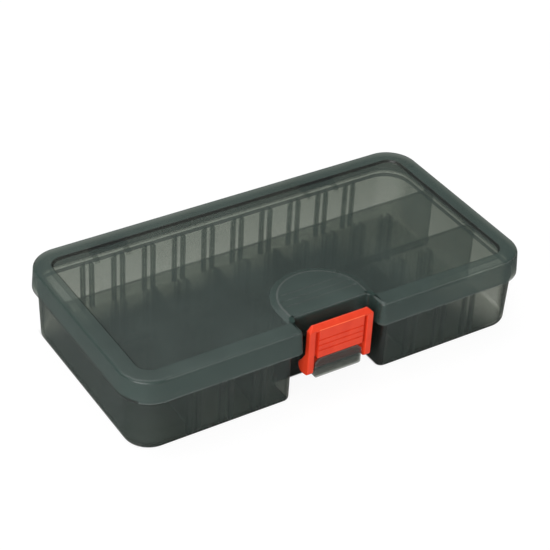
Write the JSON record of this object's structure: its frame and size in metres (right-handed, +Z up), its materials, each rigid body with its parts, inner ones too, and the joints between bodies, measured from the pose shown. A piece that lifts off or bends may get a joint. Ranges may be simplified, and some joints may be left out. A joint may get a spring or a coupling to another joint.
{
  "type": "tackle box",
  "caption": "Flat pocket tackle box: translucent tray in three rows with slots for divider plates, hinged lid with raised rim and thumb pad, and a pivoting front latch.",
  "frame": {"origin": "centre of the lid in plan, on the flat underside that the box stands on", "axes": "+X along the long side to the right as seen from the latch, +Y from the latch to the hinges, +Z up"},
  "size_m": [0.186, 0.1026, 0.0345],
  "materials": {
    "smoke_tray": "translucent smoke-grey moulding, slightly frosted",
    "smoke_lid": "translucent smoke-grey moulding with a milky rim",
    "latch_plastic": "opaque red-orange moulding, satin",
    "divider_plastic": "thin translucent smoke-grey plates"
  },
  "bodies": {
    "tray": {"tray": "smoke_tray", "divider_middle_left": "divider_plastic", "divider_middle_centre": "divider_plastic", "divider_middle_right": "divider_plastic", "divider_front_left": "divider_plastic", "divider_front_centre": "divider_plastic", "divider_front_right": "divider_plastic"},
    "lid": {"lid": "smoke_lid"},
    "latch": {"latch": "latch_plastic"}
  },
  "joints": [
    {"name": "lid_hinge", "type": "hinge", "parent": "tray", "child": "lid", "pos_m": [0, 0.0514, 0.0248], "axis": [-1, 0, 0], "range_deg": [0, 110]},
    {"name": "latch_pivot", "type": "hinge", "parent": "tray", "child": "latch", "pos_m": [0, -0.0432, 0.0126], "axis": [1, 0, 0], "range_deg": [0, 100]}
  ]
}
